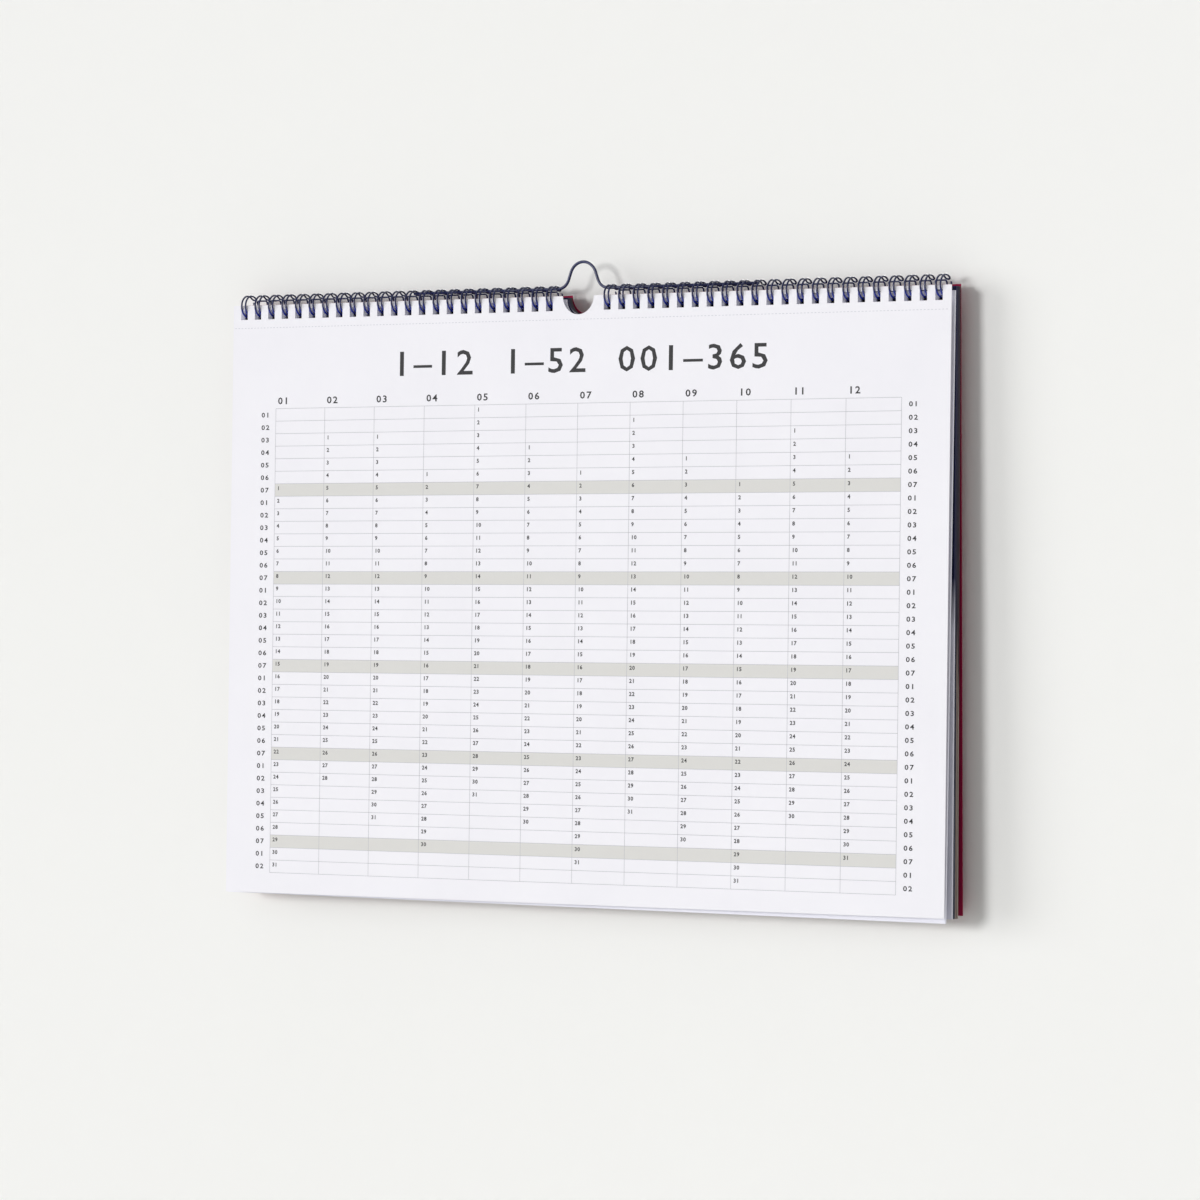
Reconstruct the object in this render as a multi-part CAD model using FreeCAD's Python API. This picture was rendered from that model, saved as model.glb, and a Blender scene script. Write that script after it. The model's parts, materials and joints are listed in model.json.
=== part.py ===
"""Wire-bound wall calendar, A3 landscape, hanging on its wire hanger. Millimetres.

X runs across the sheets to the right, -Y points at the viewer and +Z is up. The origin is the point by which the whole
calendar hangs: the underside of the hook's top. The binding's own axis is parallel to X, below that point.
"""

import FreeCAD
import Part

import math
import os

V = FreeCAD.Vector

# Sheets
sheet_width = 420.0
sheet_height = 297.0
planner_thickness = 0.3
board_thickness = 1.0
page_block_thickness = 4.2
cover_thickness = 0.3

# Punching: a row of rectangular holes, and a half-round notch in the middle of the top edge
hole_pitch = 25.4 / 3
hole_width = 4.0
hole_height = 5.0
hole_margin = 2.2
hole_clearance = 4.0
notch_radius = 9.1
punch_overrun = 1.0

# Twin-loop binding wire. Its round section and its round loops are drawn with flats
wire_diameter = 0.9
wire_flats = 6
loop_inner_radius = 4.85
loop_runs = 12
loop_width = 2.4
loop_turn = 322.0
spine_angle = 38.0
bend_length = 0.8

# Wire hanger: a straight wire with a bell-shaped hook, measured along the wire's centre line
hanger_wire_diameter = 1.5
hanger_length = 202.0
hook_height = 13.0
hook_radius = 7.7
hook_shoulder_radius = 6.7
hook_slant_angle = 20.0

# Places of the sheets inside the loops, front to back
seat_clearance = 0.1
front_gap = 0.5
sheet_gap = 0.2
rear_gap = 0.25
planner_lean_angle = 1.35
board_lean_angle = 1.2
board_skew_angle = 0.3
cover_lean_angle = -0.35

# Fan of the page block: its leaves part below the punched strip and swing forward, the front one most
leaf_count = 4
fan_start = 20.0
front_leaf_swing = 4.1
rear_leaf_swing = 2.3

# The holes' places are counted from the middle, whole pitches apart, clear of the notch and of the sheet's edge
first_hole = math.ceil((notch_radius + hole_clearance + hole_width / 2) / hole_pitch)
last_hole = math.floor((sheet_width / 2 - hole_clearance - hole_width / 2) / hole_pitch)

half_run = math.radians(loop_turn / loop_runs / 2)
loop_corner_radius = (loop_inner_radius + wire_diameter / 2) / math.cos(half_run)
hanger_radius = hanger_wire_diameter / 2
hanger_axis_height = loop_inner_radius - hanger_radius - seat_clearance
origin_height = hanger_axis_height + hook_height - hanger_radius

planner_front = -loop_inner_radius + front_gap
cover_front = loop_inner_radius - rear_gap - cover_thickness
pages_front = cover_front - sheet_gap - page_block_thickness
board_front = pages_front - sheet_gap - board_thickness


def hole_centres(side):
    """X of each hole on one side: -1 for the left, 1 for the right. The places at the notch stay unpunched."""
    return [side * i * hole_pitch for i in range(first_hole, last_hole + 1)]


def hanging_height(faces, lean):
    """Height of a sheet's top edge above the loops' axis when the top of its holes rests on the wire."""
    sway = hole_margin * math.tan(math.radians(lean))
    reach = max(abs(face - sway) for face in faces)
    wire_top = -math.sqrt(loop_inner_radius**2 - reach**2)
    return wire_top + seat_clearance + hole_margin


def punched(blank, thickness):
    """Cuts the holes and the notch out of a blank whose front face is y = 0 and whose top edge is z = 0."""
    cutters = []
    depth = thickness + 2 * punch_overrun
    for side in (-1, 1):
        for x in hole_centres(side):
            corner = V(x - hole_width / 2, -punch_overrun, -hole_margin - hole_height)
            cutters.append(Part.makeBox(hole_width, depth, hole_height, corner))
    cutters.append(Part.makeCylinder(notch_radius, depth, V(0, -punch_overrun, 0), V(0, 1, 0)))
    return blank.cut(Part.makeCompound(cutters))


def flat_blank(thickness):
    """A flat sheet, hanging down from z = 0."""
    corner = V(-sheet_width / 2, 0, -sheet_height)
    return Part.makeBox(sheet_width, thickness, sheet_height, corner)


def fanned_blank():
    """The page block: solid at the top, with its lower part in leaves that stand apart."""
    leaf = page_block_thickness / leaf_count
    outline = [V(0, 0, 0), V(0, 0, -fan_start)]
    for i in range(leaf_count):
        share = i / (leaf_count - 1)
        swing = front_leaf_swing + (rear_leaf_swing - front_leaf_swing) * share
        outline.append(V(0, i * leaf - swing, -sheet_height))
        outline.append(V(0, (i + 1) * leaf - swing, -sheet_height))
        outline.append(V(0, (i + 1) * leaf, -fan_start))
    outline += [V(0, page_block_thickness, 0), V(0, 0, 0)]
    profile = Part.Face(Part.makePolygon(outline))
    profile.translate(V(-sheet_width / 2, 0, 0))
    return profile.extrude(V(sheet_width, 0, 0))


def hung(sheet, front, thickness, lean, skew=0.0):
    """Leans a sheet about its top edge and hangs it on the wire. A skewed sheet rests on the wire at its right end."""
    sheet.rotate(V(sheet_width / 2, 0, 0), V(0, 1, 0), skew)
    sheet.rotate(V(0, 0, 0), V(1, 0, 0), -lean)
    height = hanging_height((front, front + thickness), lean)
    sheet.translate(V(0, front, height))
    return sheet


def planner_sheet():
    """The printed sheet on top."""
    sheet = punched(flat_blank(planner_thickness), planner_thickness)
    return hung(sheet, planner_front, planner_thickness, planner_lean_angle)


def backing_board():
    """The stiff board behind it, which hangs lowest and slightly askew."""
    sheet = punched(flat_blank(board_thickness), board_thickness)
    return hung(sheet, board_front, board_thickness, board_lean_angle, board_skew_angle)


def month_pages():
    """The month pages, turned over the wire to the back."""
    sheet = punched(fanned_blank(), page_block_thickness)
    return hung(sheet, pages_front, page_block_thickness, 0.0)


def cover_sheet():
    """The cover, turned over with the pages, hindmost."""
    sheet = punched(flat_blank(cover_thickness), cover_thickness)
    return hung(sheet, cover_front, cover_thickness, cover_lean_angle)


def on_loop(x, degrees):
    """A corner of the wire's centre line at an angle round the loops' axis, counted from the back towards the top."""
    angle = math.radians(degrees)
    return V(x, loop_corner_radius * math.cos(angle), loop_corner_radius * math.sin(angle))


def along_loop(degrees):
    """The direction in which the angle grows at that corner."""
    angle = math.radians(degrees)
    return V(0, -math.sin(angle), math.cos(angle))


def double_loop(x):
    """Corners of a double loop: down the back, round the front, over the top to its tip, and the same way back."""
    tip_end = spine_angle - loop_turn
    angles = [spine_angle - loop_turn * i / loop_runs for i in range(loop_runs + 1)]
    there = [on_loop(x - loop_width / 2, angle) for angle in angles]
    tip = on_loop(x, tip_end) - along_loop(tip_end) * (loop_width / 2)
    back = [on_loop(x + loop_width / 2, angle) for angle in reversed(angles)]
    return there + [tip] + back


def link(x, next_x):
    """Corners of the straight wire between two double loops."""
    up = along_loop(spine_angle) * bend_length
    start = on_loop(x + loop_width / 2 + bend_length, spine_angle) + up
    end = on_loop(next_x - loop_width / 2 - bend_length, spine_angle) + up
    return [start, end]


def wire_comb(side):
    """One length of twin-loop wire, closed into loops, through all holes of one side."""
    centres = sorted(hole_centres(side))
    corners = double_loop(centres[0])
    for x, next_x in zip(centres, centres[1:]):
        corners += link(x, next_x) + double_loop(next_x)
    return binding_wire(corners)


def binding_wire(corners):
    """The wire along a path of straight runs, mitred at the corners. Its flats lie inside the true round."""
    sideways = V(1, 0, 0)
    outward = (corners[1] - corners[0]).normalize().cross(sideways)
    section = []
    for i in range(wire_flats + 1):
        angle = 2 * math.pi * i / wire_flats
        offset = outward * math.cos(angle) + sideways * math.sin(angle)
        section.append(corners[0] + offset * (wire_diameter / 2))
    path = Part.Wire(Part.makePolygon(corners))
    mitred = 1
    return path.makePipeShell([Part.Wire(Part.makePolygon(section))], True, False, mitred)


def arc(start, middle, end):
    return Part.Arc(start, middle, end).toShape()


def hanger():
    """A straight wire inside the loops, bent up in its middle into a hook with slanting legs and a round top."""
    slant = math.radians(hook_slant_angle)
    bends = hook_radius + hook_shoulder_radius
    leg = (hook_height - bends * (1 - math.sin(slant))) / math.cos(slant)
    shoulder = leg * math.sin(slant) + bends * math.cos(slant)
    end = hanger_length / 2

    def at(x, z):
        return V(x, 0, hanger_axis_height + z)

    def on_shoulder(side, turned):
        x = shoulder - hook_shoulder_radius * math.sin(turned)
        return at(side * x, hook_shoulder_radius * (1 - math.cos(turned)))

    def on_top(side, turned):
        z = hook_height - hook_radius * (1 - math.cos(turned))
        return at(side * hook_radius * math.sin(turned), z)

    turn = math.pi / 2 - slant
    edges = [
        Part.makeLine(at(-end, 0), at(-shoulder, 0)),
        arc(at(-shoulder, 0), on_shoulder(-1, turn / 2), on_shoulder(-1, turn)),
        Part.makeLine(on_shoulder(-1, turn), on_top(-1, turn)),
        arc(on_top(-1, turn), at(0, hook_height), on_top(1, turn)),
        Part.makeLine(on_top(1, turn), on_shoulder(1, turn)),
        arc(on_shoulder(1, turn), on_shoulder(1, turn / 2), at(shoulder, 0)),
        Part.makeLine(at(shoulder, 0), at(end, 0)),
    ]
    section = Part.Wire(Part.makeCircle(hanger_radius, at(-end, 0), V(1, 0, 0)))
    return Part.Wire(edges).makePipeShell([section], True, False)


def main():
    """Builds each piece, moves it into the calendar's frame and writes it."""
    pieces = {
        "hanger": hanger(),
        "wire_comb_left": wire_comb(-1),
        "wire_comb_right": wire_comb(1),
        "planner_sheet": planner_sheet(),
        "backing_board": backing_board(),
        "month_pages": month_pages(),
        "cover_sheet": cover_sheet(),
    }
    os.makedirs("parts", exist_ok=True)
    for node, shape in pieces.items():
        shape.translate(V(0, 0, -origin_height))
        shape.exportStep(f"parts/{node}.step")
        print(node, shape.isValid(), len(shape.Solids), len(shape.Faces), round(shape.Volume, 1))


main()
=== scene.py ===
"""Looks of a wire-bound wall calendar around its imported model.

Lengths are metres in the model's own frame: X runs along the binding to the right, -Y points at the viewer
and +Z is up. Sizes written in millimetres are named so and pass through MM.
"""

import json
import logging
import math
import random
from dataclasses import dataclass, field
from enum import Enum

import bmesh
import bpy
from mathutils import Matrix, Vector


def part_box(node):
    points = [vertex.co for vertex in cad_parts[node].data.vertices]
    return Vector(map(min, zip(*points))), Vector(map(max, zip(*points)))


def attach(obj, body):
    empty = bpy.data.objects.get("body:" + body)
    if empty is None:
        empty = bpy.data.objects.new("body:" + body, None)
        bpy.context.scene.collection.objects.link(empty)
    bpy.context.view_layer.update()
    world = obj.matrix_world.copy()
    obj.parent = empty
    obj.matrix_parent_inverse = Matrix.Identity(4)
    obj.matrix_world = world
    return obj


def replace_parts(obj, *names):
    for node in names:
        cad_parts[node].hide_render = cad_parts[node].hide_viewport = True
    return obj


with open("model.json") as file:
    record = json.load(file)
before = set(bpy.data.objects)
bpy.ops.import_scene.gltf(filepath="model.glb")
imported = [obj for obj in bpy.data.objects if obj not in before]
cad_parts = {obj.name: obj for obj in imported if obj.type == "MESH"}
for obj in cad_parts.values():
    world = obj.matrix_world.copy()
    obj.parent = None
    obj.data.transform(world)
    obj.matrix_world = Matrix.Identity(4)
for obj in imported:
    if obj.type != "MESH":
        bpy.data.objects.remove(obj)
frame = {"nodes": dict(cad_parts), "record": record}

MM = 0.001
LOG = logging.getLogger("wall_calendar")

# The sockets of a Mix node that mixes two colours
MIX_SHARE = 0
MIX_FIRST = 6
MIX_SECOND = 7
MIX_RESULT = 2

# About the distance between a Wave texture's bands at a scale of 1
WAVE_BAND = 0.32


class Anchor(Enum):
    """Which point of a printed word its place names."""

    LEFT = "LEFT"
    CENTRE = "CENTER"
    RIGHT = "RIGHT"


def linear(hex_colour: str) -> tuple[float, float, float, float]:
    """Turns an sRGB hex colour into a linear one.

    Args:
        hex_colour: Six hex digits after a hash sign.

    Returns:
        Red, green and blue from 0 to 1, and an alpha of 1.
    """
    channels = [int(hex_colour[i : i + 2], 16) / 255 for i in (1, 3, 5)]
    lit = [c / 12.92 if c <= 0.04045 else ((c + 0.055) / 1.055) ** 2.4 for c in channels]
    return (lit[0], lit[1], lit[2], 1.0)


def add_node(
    tree: bpy.types.NodeTree, kind: str, feeds: dict | None = None, **settings: object
) -> bpy.types.Node:
    """Adds one node with its settings and links.

    Args:
        tree: The node tree that it goes into.
        kind: The node's type.
        feeds: For each input, by name or number, its value or the output that feeds it.
        settings: The node's own properties.

    Returns:
        The new node.
    """
    node = tree.nodes.new(kind)
    for name, value in settings.items():
        setattr(node, name, value)
    for socket, value in (feeds or {}).items():
        if isinstance(value, bpy.types.NodeSocket):
            tree.links.new(value, node.inputs[socket])
        else:
            node.inputs[socket].default_value = value
    return node


def new_material(name: str) -> tuple[bpy.types.Material, bpy.types.NodeTree]:
    """Makes an empty node material.

    Args:
        name: The material's name.

    Returns:
        The material and its node tree.
    """
    material = bpy.data.materials.new(name)
    material.use_nodes = True
    material.node_tree.nodes.clear()
    return material, material.node_tree


def joint_place(name: str) -> Vector:
    """Finds a point of a joint's axis.

    Args:
        name: The joint's name in the record.

    Returns:
        The point, in metres.
    """
    joints = frame["record"]["behaviour"]["joints"]
    return next(Vector(joint["pos_m"]) for joint in joints if joint["name"] == name)


@dataclass(frozen=True)
class PaperFinish:
    """Uncoated printing paper: matt, nearly white, with a faint cloudiness and a fine felt of fibres."""

    name: str
    bright: str
    cloudy: str
    roughness: float = 0.82
    cloud_size_mm: float = 45.0
    fibre_size_mm: float = 0.5
    fibre_depth_mm: float = 0.012

    def build(self) -> bpy.types.Material:
        """Builds the paper's material.

        Returns:
            The material.
        """
        material, tree = new_material(self.name)
        place = add_node(tree, "ShaderNodeTexCoord").outputs["Object"]
        clouds = add_node(
            tree,
            "ShaderNodeTexNoise",
            {"Vector": place, "Scale": 1 / (self.cloud_size_mm * MM), "Detail": 3.0, "Roughness": 0.5},
        )
        tone = add_node(
            tree,
            "ShaderNodeMix",
            {
                MIX_SHARE: clouds.outputs["Fac"],
                MIX_FIRST: linear(self.bright),
                MIX_SECOND: linear(self.cloudy),
            },
            data_type="RGBA",
        ).outputs[MIX_RESULT]
        fibres = add_node(
            tree,
            "ShaderNodeTexNoise",
            {"Vector": place, "Scale": 1 / (self.fibre_size_mm * MM), "Detail": 4.0, "Roughness": 0.6},
        )
        felt = add_node(
            tree,
            "ShaderNodeBump",
            {"Height": fibres.outputs["Fac"], "Strength": 0.5, "Distance": self.fibre_depth_mm * MM},
        )
        shader = add_node(
            tree,
            "ShaderNodeBsdfPrincipled",
            {
                "Base Color": tone,
                "Roughness": self.roughness,
                "IOR": 1.45,
                "Specular IOR Level": 0.3,
                "Normal": felt.outputs["Normal"],
            },
        )
        add_node(tree, "ShaderNodeOutputMaterial", {"Surface": shader.outputs["BSDF"]})
        return material


@dataclass(frozen=True)
class InkFinish:
    """Offset printing ink on uncoated paper: flat and matt, slightly mottled where the paper drinks it."""

    name: str
    solid: str
    thin: str
    mottle_mm: float = 0.6

    def build(self) -> bpy.types.Material:
        """Builds the ink's material.

        Returns:
            The material.
        """
        material, tree = new_material(self.name)
        place = add_node(tree, "ShaderNodeTexCoord").outputs["Object"]
        mottle = add_node(
            tree,
            "ShaderNodeTexNoise",
            {"Vector": place, "Scale": 1 / (self.mottle_mm * MM), "Detail": 2.0},
        )
        tone = add_node(
            tree,
            "ShaderNodeMix",
            {MIX_SHARE: mottle.outputs["Fac"], MIX_FIRST: linear(self.solid), MIX_SECOND: linear(self.thin)},
            data_type="RGBA",
        ).outputs[MIX_RESULT]
        shader = add_node(
            tree,
            "ShaderNodeBsdfPrincipled",
            {"Base Color": tone, "Roughness": 0.75, "IOR": 1.5, "Specular IOR Level": 0.3},
        )
        add_node(tree, "ShaderNodeOutputMaterial", {"Surface": shader.outputs["BSDF"]})
        return material


@dataclass(frozen=True)
class CoatedWireFinish:
    """Steel wire with a baked dark navy coating: nearly black, with soft lights along its round. Low on the
    loops, where the wire goes through the paper, a clearer blue is painted in: a painted reflection of the
    sheet's light, not a colour of the coat. It starts to turn blue at one height and is wholly blue at the
    other, both counted from the loops' axis."""

    name: str
    coat: str
    worn: str
    # The foot colour is a painted reflection of the sheet's light, not a colour of the coat
    foot: str
    reflection_above_mm: float = -1.0
    reflection_below_mm: float = -4.4
    roughness: float = 0.36
    grain_mm: float = 1.4
    ripple_depth_mm: float = 0.03

    def build(self) -> bpy.types.Material:
        """Builds the coated wire's material.

        Returns:
            The material.
        """
        material, tree = new_material(self.name)
        place = add_node(tree, "ShaderNodeTexCoord").outputs["Object"]
        grain = add_node(
            tree,
            "ShaderNodeTexNoise",
            {"Vector": place, "Scale": 1 / (self.grain_mm * MM), "Detail": 3.0},
        )
        tone = add_node(
            tree,
            "ShaderNodeMix",
            {MIX_SHARE: grain.outputs["Fac"], MIX_FIRST: linear(self.coat), MIX_SECOND: linear(self.worn)},
            data_type="RGBA",
        ).outputs[MIX_RESULT]
        middle = joint_place("board_turn").z
        height = add_node(tree, "ShaderNodeSeparateXYZ", {0: place}).outputs["Z"]
        # Painted reflection: low on the loops the coat is mixed towards the clearer blue foot colour
        reflection_share = add_node(
            tree,
            "ShaderNodeMapRange",
            {
                "Value": height,
                "From Min": middle + self.reflection_above_mm * MM,
                "From Max": middle + self.reflection_below_mm * MM,
            },
        ).outputs[0]
        colour = add_node(
            tree,
            "ShaderNodeMix",
            {MIX_SHARE: reflection_share, MIX_FIRST: tone, MIX_SECOND: linear(self.foot)},
            data_type="RGBA",
        ).outputs[MIX_RESULT]
        ripple = add_node(
            tree,
            "ShaderNodeBump",
            {"Height": grain.outputs["Fac"], "Strength": 0.15, "Distance": self.ripple_depth_mm * MM},
        )
        shader = add_node(
            tree,
            "ShaderNodeBsdfPrincipled",
            {
                "Base Color": colour,
                "Roughness": self.roughness,
                "IOR": 1.5,
                "Coat Weight": 0.25,
                "Coat Roughness": 0.2,
                "Normal": ripple.outputs["Normal"],
            },
        )
        add_node(tree, "ShaderNodeOutputMaterial", {"Surface": shader.outputs["BSDF"]})
        return material


@dataclass(frozen=True)
class LeafTone:
    """The colour of one leaf of the page block: dark down to a height, paler below it."""

    upper: str
    lower: str
    change_mm: float


@dataclass(frozen=True)
class PageBlockFinish:
    """Silk-coated printed pages seen from the side: each leaf has its own tone and fine paper edges."""

    name: str
    leaves: tuple[LeafTone, ...]
    edge_light: str
    block_thickness_mm: float = 4.2
    fan_start_mm: float = 20.0
    rear_swing_mm: float = 2.3
    fade_mm: float = 26.0
    seam: float = 0.02
    edge_share: float = 0.1
    stripe_mm: float = 0.25

    def build(self) -> bpy.types.Material:
        """Builds the page block's material. The leaf's number comes from the place within the fan.

        Returns:
            The material.
        """
        material, tree = new_material(self.name)
        place = add_node(tree, "ShaderNodeTexCoord").outputs["Object"]
        axes = add_node(tree, "ShaderNodeSeparateXYZ", {0: place}).outputs
        lowest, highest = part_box("month_pages")
        block_front = highest.y - self.block_thickness_mm * MM
        front_swing = block_front - lowest.y
        opened = add_node(
            tree,
            "ShaderNodeMapRange",
            {"Value": axes["Z"], "From Min": highest.z - self.fan_start_mm * MM, "From Max": lowest.z},
        ).outputs[0]
        leaf = self.block_thickness_mm * MM / len(self.leaves)
        spread = (front_swing - self.rear_swing_mm * MM) / (len(self.leaves) - 1)
        depth = add_node(
            tree, "ShaderNodeMath", {0: axes["Y"], 1: block_front}, operation="SUBTRACT"
        ).outputs[0]
        shifted = add_node(
            tree, "ShaderNodeMath", {0: opened, 1: front_swing, 2: depth}, operation="MULTIPLY_ADD"
        ).outputs[0]
        pitch = add_node(
            tree, "ShaderNodeMath", {0: opened, 1: spread, 2: leaf}, operation="MULTIPLY_ADD"
        ).outputs[0]
        number = add_node(tree, "ShaderNodeMath", {0: shifted, 1: pitch}, operation="DIVIDE").outputs[0]
        tone = linear(self.leaves[0].upper)
        for i, leaf_tone in enumerate(self.leaves):
            change = highest.z - leaf_tone.change_mm * MM
            fade = self.fade_mm * MM / 2
            paler = add_node(
                tree,
                "ShaderNodeMapRange",
                {"Value": axes["Z"], "From Min": change + fade, "From Max": change - fade},
            ).outputs[0]
            # Each leaf is darker above its change height and paler below it
            height_tone = add_node(
                tree,
                "ShaderNodeMix",
                {MIX_SHARE: paler, MIX_FIRST: linear(leaf_tone.upper), MIX_SECOND: linear(leaf_tone.lower)},
                data_type="RGBA",
            ).outputs[MIX_RESULT]
            reached = add_node(
                tree, "ShaderNodeMath", {0: number, 1: i - self.seam}, operation="GREATER_THAN"
            ).outputs[0]
            tone = add_node(
                tree,
                "ShaderNodeMix",
                {MIX_SHARE: reached, MIX_FIRST: tone, MIX_SECOND: height_tone},
                data_type="RGBA",
            ).outputs[MIX_RESULT]
        stripes = add_node(
            tree,
            "ShaderNodeTexWave",
            {"Vector": place, "Scale": WAVE_BAND / (self.stripe_mm * MM), "Distortion": 0.6},
            bands_direction="Y",
        )
        normal = add_node(tree, "ShaderNodeNewGeometry").outputs["Normal"]
        facing = add_node(tree, "ShaderNodeSeparateXYZ", {0: normal}).outputs["X"]
        sideways = add_node(tree, "ShaderNodeMath", {0: facing}, operation="ABSOLUTE").outputs[0]
        amount = add_node(
            tree, "ShaderNodeMath", {0: sideways, 1: stripes.outputs["Fac"]}, operation="MULTIPLY"
        ).outputs[0]
        faint = add_node(
            tree, "ShaderNodeMath", {0: amount, 1: self.edge_share}, operation="MULTIPLY"
        ).outputs[0]
        colour = add_node(
            tree,
            "ShaderNodeMix",
            {MIX_SHARE: faint, MIX_FIRST: tone, MIX_SECOND: linear(self.edge_light)},
            data_type="RGBA",
        ).outputs[MIX_RESULT]
        shader = add_node(
            tree,
            "ShaderNodeBsdfPrincipled",
            {"Base Color": colour, "Roughness": 0.6, "IOR": 1.45, "Specular IOR Level": 0.3},
        )
        add_node(tree, "ShaderNodeOutputMaterial", {"Surface": shader.outputs["BSDF"]})
        return material


@dataclass(frozen=True)
class WallFinish:
    """Painted plaster behind the calendar. From behind it lets the view and the light through, but not light
    that has already bounced, so that the lit back of the calendar doesn't tint it."""

    name: str
    paint: str
    patchy: str
    direct_depth: float = 0.5

    def build(self) -> bpy.types.Material:
        """Builds the wall's material.

        Returns:
            The material.
        """
        material, tree = new_material(self.name)
        place = add_node(tree, "ShaderNodeTexCoord").outputs["Object"]
        patches = add_node(tree, "ShaderNodeTexNoise", {"Vector": place, "Scale": 1.2, "Detail": 2.0})
        tone = add_node(
            tree,
            "ShaderNodeMix",
            {
                MIX_SHARE: patches.outputs["Fac"],
                MIX_FIRST: linear(self.paint),
                MIX_SECOND: linear(self.patchy),
            },
            data_type="RGBA",
        ).outputs[MIX_RESULT]
        paint = add_node(tree, "ShaderNodeBsdfDiffuse", {"Color": tone}).outputs[0]
        clear = add_node(tree, "ShaderNodeBsdfTransparent").outputs[0]
        rays = add_node(tree, "ShaderNodeLightPath").outputs
        seen = add_node(
            tree, "ShaderNodeMath", {0: rays["Is Camera Ray"], 1: rays["Is Glossy Ray"]}, operation="MAXIMUM"
        ).outputs[0]
        drawn = add_node(
            tree, "ShaderNodeMath", {0: seen, 1: rays["Is Transmission Ray"]}, operation="MAXIMUM"
        ).outputs[0]
        behind = add_node(tree, "ShaderNodeNewGeometry").outputs["Backfacing"]
        ahead = add_node(tree, "ShaderNodeMath", {0: 1.0, 1: behind}, operation="SUBTRACT").outputs[0]
        share = add_node(tree, "ShaderNodeMath", {0: drawn, 1: ahead}, operation="MULTIPLY").outputs[0]
        # A shadow ray counts itself as a bounce, which is taken off again
        bounces = add_node(
            tree, "ShaderNodeMath", {0: rays["Ray Depth"], 1: rays["Is Shadow Ray"]}, operation="SUBTRACT"
        ).outputs[0]
        bounced = add_node(
            tree, "ShaderNodeMath", {0: bounces, 1: self.direct_depth}, operation="GREATER_THAN"
        ).outputs[0]
        solid = add_node(tree, "ShaderNodeMath", {0: share, 1: bounced}, operation="MAXIMUM").outputs[0]
        surface = add_node(tree, "ShaderNodeMixShader", {0: solid, 1: clear, 2: paint}).outputs[0]
        add_node(tree, "ShaderNodeOutputMaterial", {"Surface": surface})
        return material


def new_piece(
    name: str, shape: bmesh.types.BMesh, material: bpy.types.Material, body: str
) -> bpy.types.Object:
    """Turns a finished shape into a piece of the calendar.

    Args:
        name: The piece's name.
        shape: Its mesh, in place. It is freed.
        material: Its finish.
        body: The body that it moves with.

    Returns:
        The new object.
    """
    mesh = bpy.data.meshes.new(name)
    shape.to_mesh(mesh)
    shape.free()
    mesh.materials.append(material)
    piece = bpy.data.objects.new(name, mesh)
    bpy.context.scene.collection.objects.link(piece)
    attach(piece, body)
    LOG.info("%s: %d faces on body %s", name, len(mesh.polygons), body)
    return piece


def dress(node: str, material: bpy.types.Material) -> None:
    """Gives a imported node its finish.

    Args:
        node: The node's name.
        material: The finish.
    """
    mesh = frame["nodes"][node].data
    mesh.materials.clear()
    mesh.materials.append(material)
    LOG.info("%s dressed", node)


@dataclass
class SheetFace:
    """The printed face of the top sheet. Places are millimetres from its middle and down from its top."""

    lean_degrees: float = 1.35
    thickness_mm: float = 0.3
    lift_mm: float = 0.02

    def placement(self) -> Matrix:
        """Finds the matrix that lays a flat print, drawn in X and Z, on the sheet's front face.

        Returns:
            The placement, in metres.
        """
        lowest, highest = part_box("planner_sheet")
        lean = math.radians(self.lean_degrees)
        top_front = highest.y - self.thickness_mm * MM * math.cos(lean)
        outwards = Vector((0, -math.cos(lean), math.sin(lean))) * self.lift_mm * MM
        corner = Vector((0, top_front, highest.z)) + outwards
        return Matrix.Translation(corner) @ Matrix.Rotation(-lean, 4, "X")


@dataclass(frozen=True)
class Lettering:
    """How a kind of figure is set: its height, how much bolder and wider than plain, and its spacing."""

    cap_mm: float
    bolder_mm: float
    wider: float = 1.0
    spread: float = 1.0


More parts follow.
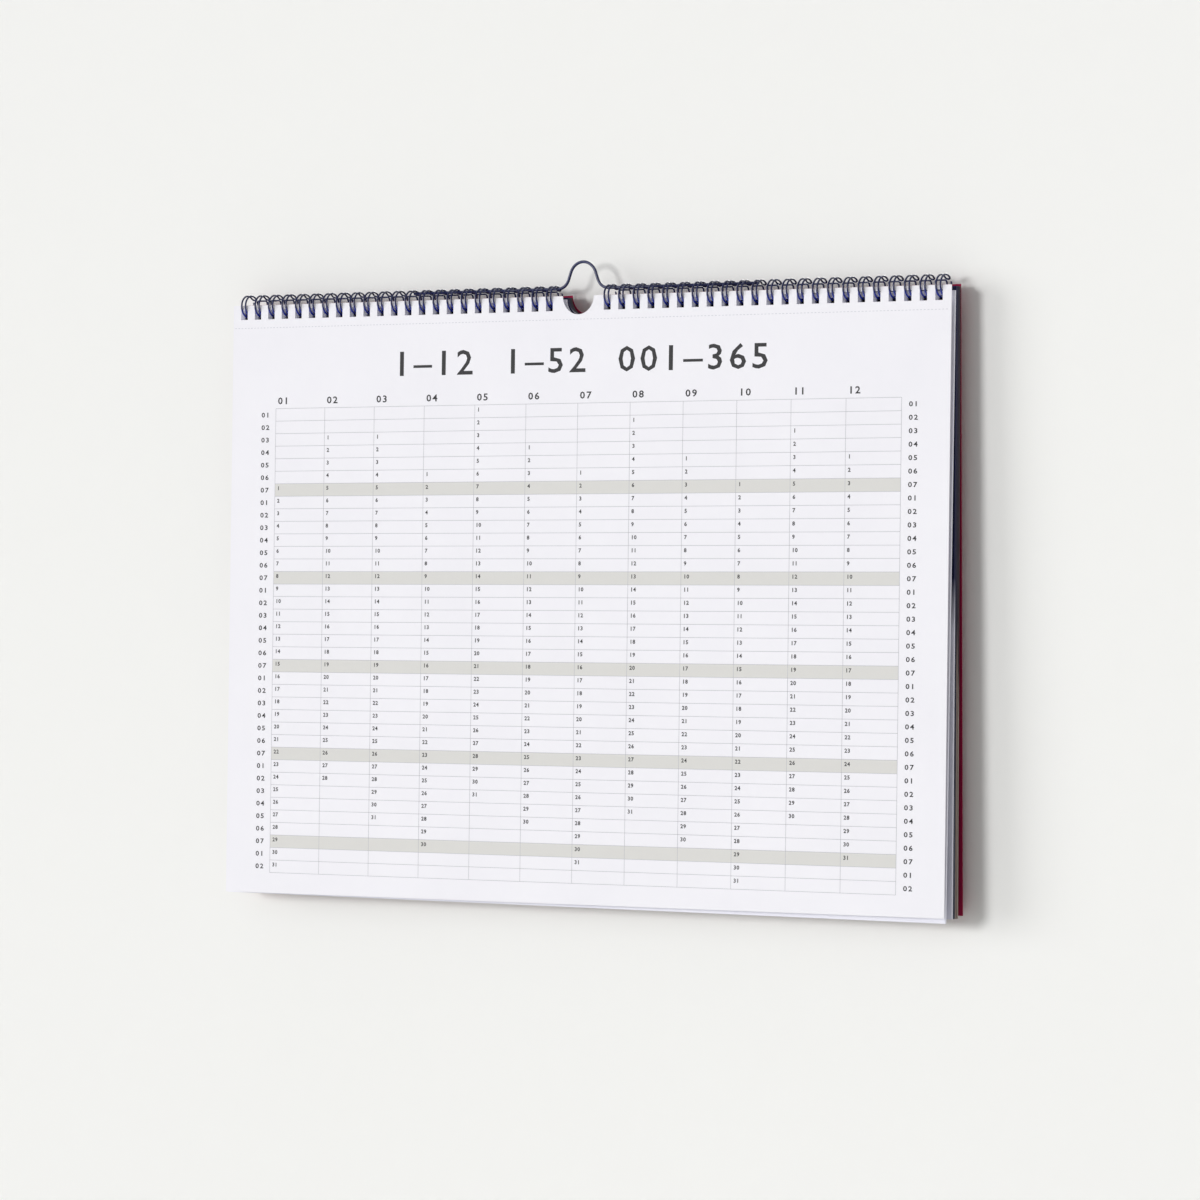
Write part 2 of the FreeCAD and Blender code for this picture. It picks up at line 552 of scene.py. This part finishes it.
@dataclass
class Print:
    """Collects flat printed shapes on the sheet into one thin plate. The built-in font's capitals take up the
    cap share of its size."""

    plate_mm: float = 0.015
    cap_share: float = 0.691
    shape: bmesh.types.BMesh = field(default_factory=bmesh.new)
    glyphs: dict = field(default_factory=dict)

    def bar(self, left: float, right: float, top: float, bottom: float) -> None:
        """Adds a filled rectangle.

        Args:
            left: Left end, in millimetres.
            right: Right end.
            top: Upper edge, down from the sheet's top.
            bottom: Lower edge.
        """
        size = Vector((right - left, self.plate_mm, bottom - top)) * MM
        middle = Vector((left + right, 0, -(top + bottom))) * MM / 2
        place = Matrix.Translation(middle) @ Matrix.Diagonal(size.to_4d())
        bmesh.ops.create_cube(self.shape, size=1.0, matrix=place)

    def figures(self, words: str, lettering: Lettering, anchor: Anchor) -> bpy.types.Mesh:
        """Makes the flat mesh of one string of figures, upright in X and Z, once for each string.

        Args:
            words: What it says.
            lettering: How it is set.
            anchor: Which end stands at the origin.

        Returns:
            The mesh, with its origin at the figures' foot.
        """
        key = (words, lettering, anchor)
        if key not in self.glyphs:
            curve = bpy.data.curves.new("figures", "FONT")
            curve.body = words
            curve.size = lettering.cap_mm * MM / self.cap_share
            curve.align_x = anchor.value
            curve.space_character = lettering.spread
            curve.resolution_u = 2
            curve.offset = lettering.bolder_mm * MM
            curve.extrude = self.plate_mm * MM / 2
            holder = bpy.data.objects.new("figures", curve)
            bpy.context.scene.collection.objects.link(holder)
            bpy.context.view_layer.update()
            outcome = bpy.context.evaluated_depsgraph_get()
            mesh = bpy.data.meshes.new_from_object(holder.evaluated_get(outcome))
            mesh.transform(Matrix.Rotation(math.pi / 2, 4, "X") @ Matrix.Diagonal((lettering.wider, 1, 1, 1)))
            bpy.data.objects.remove(holder)
            bpy.data.curves.remove(curve)
            self.glyphs[key] = mesh
        return self.glyphs[key]

    def word(self, words: str, x: float, foot: float, lettering: Lettering, anchor: Anchor) -> None:
        """Adds a string of figures.

        Args:
            words: What it says.
            x: Place across the sheet.
            foot: Place of the figures' foot, down from the sheet's top.
            lettering: How it is set.
            anchor: Which end of the string stands at x.
        """
        mesh = self.figures(words, lettering, anchor)
        place = Matrix.Translation(Vector((x, 0, -foot)) * MM)
        mesh.transform(place)
        self.shape.from_mesh(mesh)
        mesh.transform(place.inverted())

    def finish(self, name: str, material: bpy.types.Material, face: SheetFace) -> bpy.types.Object:
        """Lays the print on the sheet.

        Args:
            name: The piece's name.
            material: The ink.
            face: The sheet's face.

        Returns:
            The piece.
        """
        bmesh.ops.remove_doubles(self.shape, verts=self.shape.verts, dist=1e-7)
        bmesh.ops.recalc_face_normals(self.shape, faces=self.shape.faces)
        bmesh.ops.transform(self.shape, matrix=face.placement(), verts=self.shape.verts)
        for mesh in self.glyphs.values():
            bpy.data.meshes.remove(mesh)
        return new_piece(name, self.shape, material, "planner")


@dataclass
class YearTable:
    """The printed year table: a column for each month, a row for each day, shaded rest days and figures."""

    left_mm: float = -182.6
    right_mm: float = 183.6
    top_mm: float = 52.5
    row_mm: float = 6.33
    rows: int = 37
    months: int = 12
    week_rows: int = 7
    line_mm: float = 0.22
    first_rows: tuple[int, ...] = (7, 3, 3, 6, 1, 4, 6, 2, 5, 7, 3, 5)
    month_lengths: tuple[int, ...] = (31, 28, 31, 30, 31, 30, 31, 31, 30, 31, 30, 31)
    title: str = "1–12  1–52  001–365"
    title_type: Lettering = Lettering(cap_mm=12.0, bolder_mm=0.12, wider=1.22, spread=1.2)
    title_foot_mm: float = 37.25
    heading_type: Lettering = Lettering(cap_mm=3.3, bolder_mm=0.09, wider=1.25, spread=1.25)
    heading_foot_mm: float = 50.25
    heading_inset_mm: float = 1.2
    weekday_type: Lettering = Lettering(cap_mm=2.3, bolder_mm=0.075, wider=1.3, spread=1.3)
    weekday_gap_mm: float = 4.0
    day_type: Lettering = Lettering(cap_mm=1.85, bolder_mm=0.08, wider=1.1, spread=1.15)
    day_inset_mm: float = 1.5
    day_centre_mm: float = 2.25
    perforation_mm: float = 11.5
    slit_pitch_mm: float = 2.0
    slit_length_mm: float = 1.1
    slit_width_mm: float = 0.24
    slit_row_mm: float = 418.0

    def column(self, month: int) -> float:
        """Left line of a month's column, counted from 0, in millimetres."""
        return self.left_mm + (self.right_mm - self.left_mm) * month / self.months

    def row(self, number: int) -> float:
        """Upper line of a row, counted from 0, in millimetres below the sheet's top."""
        return self.top_mm + self.row_mm * number

    def bands(self, face: SheetFace, ink: bpy.types.Material) -> None:
        """Prints the shaded rest-day rows.

        Args:
            face: The sheet's face.
            ink: The pale grey ink.
        """
        tint = Print(plate_mm=0.01)
        for number in range(self.week_rows, self.rows, self.week_rows):
            tint.bar(self.left_mm, self.right_mm, self.row(number - 1), self.row(number))
        tint.finish("rest_day_bands", ink, face)

    def rules(self, face: SheetFace, ink: bpy.types.Material) -> None:
        """Prints the table's thin lines.

        Args:
            face: The sheet's face.
            ink: The grey ink of the lines.
        """
        lines = Print(plate_mm=0.02)
        half = self.line_mm / 2
        for number in range(self.rows + 1):
            lines.bar(self.left_mm, self.right_mm, self.row(number) - half, self.row(number) + half)
        for month in range(self.months + 1):
            x = self.column(month)
            lines.bar(x - half, x + half, self.row(0), self.row(self.rows))
        lines.finish("table_lines", ink, face)

    def figures(self, face: SheetFace, ink: bpy.types.Material) -> None:
        """Prints the title, the headings, the weekday numbers and the day numbers.

        Args:
            face: The sheet's face.
            ink: The dark grey ink.
        """
        heads = Print()
        heads.word(self.title, 0.0, self.title_foot_mm, self.title_type, Anchor.CENTRE)
        for month in range(self.months):
            x = self.column(month) + self.heading_inset_mm
            heads.word(f"{month + 1:02d}", x, self.heading_foot_mm, self.heading_type, Anchor.LEFT)
        heads.finish("title_and_month_numbers", ink, face)
        weekdays = Print()
        for number in range(self.rows):
            foot = self.row(number) + (self.row_mm + self.weekday_type.cap_mm) / 2
            label = f"{number % self.week_rows + 1:02d}"
            weekdays.word(label, self.left_mm - self.weekday_gap_mm, foot, self.weekday_type, Anchor.RIGHT)
            weekdays.word(label, self.right_mm + self.weekday_gap_mm, foot, self.weekday_type, Anchor.LEFT)
        weekdays.finish("weekday_numbers", ink, face)
        days = Print()
        for month in range(self.months):
            x = self.column(month) + self.day_inset_mm
            first = self.first_rows[month] - 1
            for day in range(self.month_lengths[month]):
                foot = self.row(first + day) + self.day_centre_mm + self.day_type.cap_mm / 2
                days.word(str(day + 1), x, foot, self.day_type, Anchor.LEFT)
        days.finish("day_numbers", ink, face)

    def perforation(self, face: SheetFace, shade: bpy.types.Material) -> None:
        """Marks the row of short slits along which the sheet tears off.

        Args:
            face: The sheet's face.
            shade: The shade in the slits.
        """
        # Thin grey bars laid on the face: painted shade for the dark inside each slit
        slits = Print(plate_mm=0.01)
        half = self.slit_width_mm / 2
        for i in range(int(self.slit_row_mm / self.slit_pitch_mm)):
            x = self.slit_pitch_mm * i - self.slit_row_mm / 2
            slits.bar(x, x + self.slit_length_mm, self.perforation_mm - half, self.perforation_mm + half)
        slits.finish("perforation_slits", shade, face)


@dataclass
class WireRun:
    """A round wire bent step by step. Each step carries its open end ring on, round a bend or straight on."""

    start: Vector
    heading: Vector
    diameter: float
    sides: int = 10
    step_degrees: float = 11.5
    shape: bmesh.types.BMesh = field(default_factory=bmesh.new)
    end: list = field(default_factory=list)

    def __post_init__(self) -> None:
        """Starts the wire with a ring across its heading."""
        turn = self.heading.to_track_quat("Z", "X").to_matrix().to_4x4()
        place = Matrix.Translation(self.start) @ turn
        bmesh.ops.create_circle(self.shape, segments=self.sides, radius=self.diameter / 2, matrix=place)
        self.end = self.shape.edges[:]

    def carry_on(self, made: list) -> list:
        """Takes the newest ring as the wire's end.

        Args:
            made: What an operator made last.

        Returns:
            The ring's corners.
        """
        corners = [part for part in made if isinstance(part, bmesh.types.BMVert)]
        ring = set(corners)
        # A dict, because a set of edges has no fixed order
        edges = dict.fromkeys(edge for corner in corners for edge in corner.link_edges)
        self.end = [edge for edge in edges if all(corner in ring for corner in edge.verts)]
        return corners

    def bend(self, centre: Vector, axis: Vector, degrees: float) -> None:
        """Carries the wire round a bend.

        Args:
            centre: A point of the bend's axis.
            axis: The axis, about which the wire turns by the right-hand rule.
            degrees: How far it turns.
        """
        spun = bmesh.ops.spin(
            self.shape,
            geom=self.end,
            cent=centre,
            axis=axis,
            angle=math.radians(degrees),
            steps=math.ceil(abs(degrees) / self.step_degrees),
        )
        self.carry_on(spun["geom_last"])

    def straight(self, along: Vector) -> None:
        """Carries the wire straight on.

        Args:
            along: How far it goes, and which way.
        """
        corners = self.carry_on(bmesh.ops.extrude_edge_only(self.shape, edges=self.end)["geom"])
        bmesh.ops.translate(self.shape, verts=corners, vec=along)

    def finish(self, name: str, material: bpy.types.Material, body: str, slot: str, node: str) -> None:
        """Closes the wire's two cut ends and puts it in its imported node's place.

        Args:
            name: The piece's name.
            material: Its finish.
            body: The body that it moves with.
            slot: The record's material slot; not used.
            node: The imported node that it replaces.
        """
        rims = [edge for edge in self.shape.edges if edge.is_boundary]
        bmesh.ops.holes_fill(self.shape, edges=rims, sides=self.sides)
        bmesh.ops.recalc_face_normals(self.shape, faces=self.shape.faces)
        for face in self.shape.faces:
            face.smooth = len(face.verts) == 4
        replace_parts(new_piece(name, self.shape, material, body), node)


@dataclass
class TwinLoopBinding:
    """The two lengths of twin-loop wire: double loops bent from one wire, with a straight stretch between.

    Angles go round the loops' axis, from the back towards the top. Each loop starts at the back, goes round
    below and in front, and comes over the top to its tip. The loops lean by a degree or so, each its own way,
    because such wire is closed by a press and handled afterwards. The spine is at the lowest whole angle that
    leaves the cover 0.05 mm of room when it is turned fully back.
    """

    pitch_mm: float = 25.4 / 3
    loops: int = 23
    first_place: int = 2
    wire_mm: float = 0.9
    inner_radius_mm: float = 4.85
    loop_width_mm: float = 2.4
    bend_mm: float = 0.8
    spine_degrees: float = 24.0
    turn_degrees: float = 334.0
    lean_degrees: float = 1.2
    seed: int = 11

    def build(self, material: bpy.types.Material) -> None:
        """Bends both lengths.

        Args:
            material: The wire's coating.
        """
        leans = random.Random(self.seed)
        self.length("binding_wire_left", "wire_comb_left", -1, leans, material)
        self.length("binding_wire_right", "wire_comb_right", 1, leans, material)

    def length(
        self, name: str, node: str, side: int, leans: random.Random, material: bpy.types.Material
    ) -> None:
        """Bends one length of wire through the holes of one side.

        Args:
            name: The piece's name.
            node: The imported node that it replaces.
            side: -1 for the left, 1 for the right.
            leans: Where the loops' small leans come from.
            material: The wire's coating.
        """
        across = Vector((1, 0, 0))
        angle = math.radians(self.spine_degrees)
        spine = Vector((0, math.cos(angle), math.sin(angle)))
        upwards = across.cross(spine)
        radius = (self.inner_radius_mm + self.wire_mm / 2) * MM
        half = self.loop_width_mm / 2 * MM
        bend = self.bend_mm * MM
        gap = self.pitch_mm * MM - 2 * half - 2 * bend
        places = sorted(side * (self.first_place + i) * self.pitch_mm * MM for i in range(self.loops))
        middles = [joint_place("board_turn") + across * x for x in places]
        wire = WireRun(middles[0] - across * half + spine * radius, -upwards, self.wire_mm * MM)
        for middle in middles:
            if middle is not middles[0]:
                corner = middle - across * (half + bend) + spine * radius
                wire.bend(corner - across * gap, spine, 90)
                wire.straight(across * gap)
                wire.bend(corner, spine, 90)
            lean = math.radians(leans.uniform(-self.lean_degrees, self.lean_degrees))
            axis = Matrix.Rotation(lean, 3, spine) @ across
            tip = Matrix.Rotation(math.radians(-self.turn_degrees), 3, axis) @ spine
            wire.bend(middle, axis, -self.turn_degrees)
            wire.bend(middle + tip * radius, tip, -180)
            wire.bend(middle, axis, self.turn_degrees)
        wire.finish(name, material, "binding", "binding_wire", node)


@dataclass
class WireHanger:
    """The hanger: a straight wire inside the loops, bent up in its middle into a bell-shaped hook."""

    wire_mm: float = 1.5
    length_mm: float = 202.0
    hook_height_mm: float = 13.0
    hook_radius_mm: float = 7.7
    shoulder_radius_mm: float = 6.7
    slant_degrees: float = 20.0
    sides: int = 16
    step_degrees: float = 6.0

    def build(self, material: bpy.types.Material) -> None:
        """Bends the wire from its left end to its right end.

        Args:
            material: The wire's coating.
        """
        slant = math.radians(self.slant_degrees)
        bends = self.hook_radius_mm + self.shoulder_radius_mm
        leg = (self.hook_height_mm - bends * (1 - math.sin(slant))) / math.cos(slant)
        shoulder = leg * math.sin(slant) + bends * math.cos(slant)
        arm = self.length_mm / 2 - shoulder
        across = Vector((1, 0, 0))
        upwards = Vector((0, 0, 1))
        rearwards = Vector((0, 1, 0))
        middle = joint_place("hanger_swing")
        low = middle + upwards * self.shoulder_radius_mm * MM
        high = middle + upwards * (self.hook_height_mm - self.hook_radius_mm) * MM
        foot = across * shoulder * MM
        turn = 90 - self.slant_degrees
        rise = (across * math.sin(slant) + upwards * math.cos(slant)) * leg * MM
        fall = (across * math.sin(slant) - upwards * math.cos(slant)) * leg * MM
        start = middle - across * self.length_mm / 2 * MM
        wire = WireRun(start, across, self.wire_mm * MM, self.sides, self.step_degrees)
        wire.straight(across * arm * MM)
        wire.bend(low - foot, rearwards, -turn)
        wire.straight(rise)
        wire.bend(high, rearwards, 2 * turn)
        wire.straight(fall)
        wire.bend(low + foot, rearwards, -turn)
        wire.straight(across * arm * MM)
        wire.finish("hanger_wire", material, "hanger", "hanger_wire", "hanger")


@dataclass
class PhotoView:
    """The camera, at the photograph's viewpoint."""

    place_mm: tuple[float, float, float] = (1579.51, -2380.51, -147.31)
    yaw_degrees: float = 33.401
    pitch_degrees: float = 0.346
    lens_mm: float = 175.3
    sensor_mm: float = 36.0
    reach_m: float = 50.0

    def build(self) -> None:
        """Makes the camera and looks through it."""
        yaw = math.radians(self.yaw_degrees)
        pitch = math.radians(self.pitch_degrees)
        back = Vector((math.sin(yaw) * math.cos(pitch), -math.cos(yaw) * math.cos(pitch), math.sin(pitch)))
        right = Vector((math.cos(yaw), math.sin(yaw), 0))
        up = back.cross(right)
        turn = Matrix((right, up, back)).transposed().to_4x4()
        lens = bpy.data.cameras.new("photo_view")
        lens.lens = self.lens_mm
        lens.sensor_width = self.sensor_mm
        lens.clip_end = self.reach_m
        camera = bpy.data.objects.new("photo_view", lens)
        camera.matrix_world = Matrix.Translation(Vector(self.place_mm) * MM) @ turn
        bpy.context.scene.collection.objects.link(camera)
        bpy.context.scene.camera = camera


@dataclass
class Studio:
    """The wall behind the calendar, a pale floor, soft light from the front left, a wider light from further
    left, and one from behind for the back."""

    wall_y_mm: float = 12.0
    floor_z_mm: float = -1100.0
    half_width_mm: float = 4000.0
    wall_top_mm: float = 3000.0
    key_strength: float = 1.32
    key_left_degrees: float = 23.0
    key_softness_degrees: float = 15.0
    side_strength: float = 1.15
    side_left_degrees: float = 58.0
    side_softness_degrees: float = 30.0
    light_up_degrees: float = 8.0
    rear_strength: float = 2.0
    rear_softness_degrees: float = 20.0
    rear_way: tuple[float, float, float] = (0.3, -1.0, -0.5)
    sky_strength: float = 0.34

    def panel(self, name: str, corners: list[Vector], material: bpy.types.Material) -> None:
        """Makes a flat stage panel.

        Args:
            name: Its name.
            corners: Its four corners, turning about its front's normal.
            material: Its finish.
        """
        shape = bmesh.new()
        shape.faces.new([shape.verts.new(corner * MM) for corner in corners])
        mesh = bpy.data.meshes.new(name)
        shape.to_mesh(mesh)
        shape.free()
        mesh.materials.append(material)
        panel = bpy.data.objects.new(name, mesh)
        bpy.context.scene.collection.objects.link(panel)

    def sun(self, name: str, strength: float, towards: Vector, softness: float) -> None:
        """Makes an even, distant lamp.

        Args:
            name: Its name.
            strength: Its strength.
            towards: The way its light goes.
            softness: Its width as seen from the object, in degrees.
        """
        lamp = bpy.data.lights.new(name, "SUN")
        lamp.energy = strength
        lamp.angle = math.radians(softness)
        holder = bpy.data.objects.new(name, lamp)
        holder.rotation_euler = towards.to_track_quat("-Z", "Y").to_euler()
        bpy.context.scene.collection.objects.link(holder)

    def build(self) -> None:
        """Builds the stage, the lamps and the sky."""
        paint = WallFinish("painted_plaster_wall", paint="#F7F7F5", patchy="#F3F3F1").build()
        wide = self.half_width_mm
        low = self.floor_z_mm
        y = self.wall_y_mm
        wall = [Vector((-wide, y, low)), Vector((wide, y, low))]
        wall += [Vector((wide, y, self.wall_top_mm)), Vector((-wide, y, self.wall_top_mm))]
        self.panel("wall", wall, paint)
        floor_paint = PaperFinish(
            "pale_matt_floor", bright="#F0F0EE", cloudy="#ECECEA", cloud_size_mm=900
        ).build()
        floor = [Vector((-wide, -wide, low)), Vector((wide, -wide, low))]
        floor += [Vector((wide, wide, low)), Vector((-wide, wide, low))]
        self.panel("floor", floor, floor_paint)
        drop = math.tan(math.radians(self.light_up_degrees))
        from_key = Vector((math.tan(math.radians(self.key_left_degrees)), 1, -drop))
        from_side = Vector((math.tan(math.radians(self.side_left_degrees)), 1, -drop))
        self.sun("key_light", self.key_strength, from_key, self.key_softness_degrees)
        self.sun("side_light", self.side_strength, from_side, self.side_softness_degrees)
        self.sun("rear_fill", self.rear_strength, Vector(self.rear_way), self.rear_softness_degrees)
        world = bpy.data.worlds.new("soft_white_sky")
        world.use_nodes = True
        world.node_tree.nodes.clear()
        sky = add_node(
            world.node_tree,
            "ShaderNodeBackground",
            {"Color": linear("#FFFFFF"), "Strength": self.sky_strength},
        )
        add_node(world.node_tree, "ShaderNodeOutputWorld", {"Surface": sky.outputs[0]})
        bpy.context.scene.world = world
        bpy.context.scene.view_settings.view_transform = "Standard"


def main() -> None:
    """Builds the calendar's looks, its stage and its camera in order."""
    logging.basicConfig(level=logging.INFO)
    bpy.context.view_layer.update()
    PhotoView().build()
    Studio().build()
    white_paper = PaperFinish("uncoated_white_paper", bright="#F7F6FB", cloudy="#F1F0F6").build()
    board = PaperFinish("white_lined_board", bright="#F6F6FF", cloudy="#ECECF8").build()
    red_card = PaperFinish("dark_red_card", bright="#A81446", cloudy="#961040").build()
    pages = PageBlockFinish(
        "printed_pages",
        leaves=(
            LeafTone(upper="#141A44", lower="#E2E2EE", change_mm=150.0),
            LeafTone(upper="#0E1436", lower="#3A3E50", change_mm=235.0),
            LeafTone(upper="#20182C", lower="#8A7C74", change_mm=170.0),
            LeafTone(upper="#3C2A30", lower="#94887E", change_mm=190.0),
        ),
        edge_light="#B8AEB4",
    ).build()
    # The wire's foot colour is a painted reflection of the sheet's light low on the loops
    wire = CoatedWireFinish("navy_coated_wire", coat="#161C48", worn="#1E285A", foot="#2236B0").build()
    dress("planner_sheet", white_paper)
    dress("backing_board", board)
    dress("month_pages", pages)
    dress("cover_sheet", red_card)
    WireHanger().build(wire)
    TwinLoopBinding().build(wire)
    face = SheetFace()
    table = YearTable()
    table.bands(face, InkFinish("pale_grey_tint", solid="#DAD9D6", thin="#DEDDDA").build())
    table.rules(face, InkFinish("light_grey_line_ink", solid="#B6B6BC", thin="#C0C0C6").build())
    table.figures(face, InkFinish("dark_grey_ink", solid="#343436", thin="#404042").build())
    # The slit shade is painted shade, built with the ink finish
    table.perforation(face, InkFinish("slit_shade", solid="#CACAD4", thin="#D4D4DC").build())


if __name__ == "__main__":
    main()
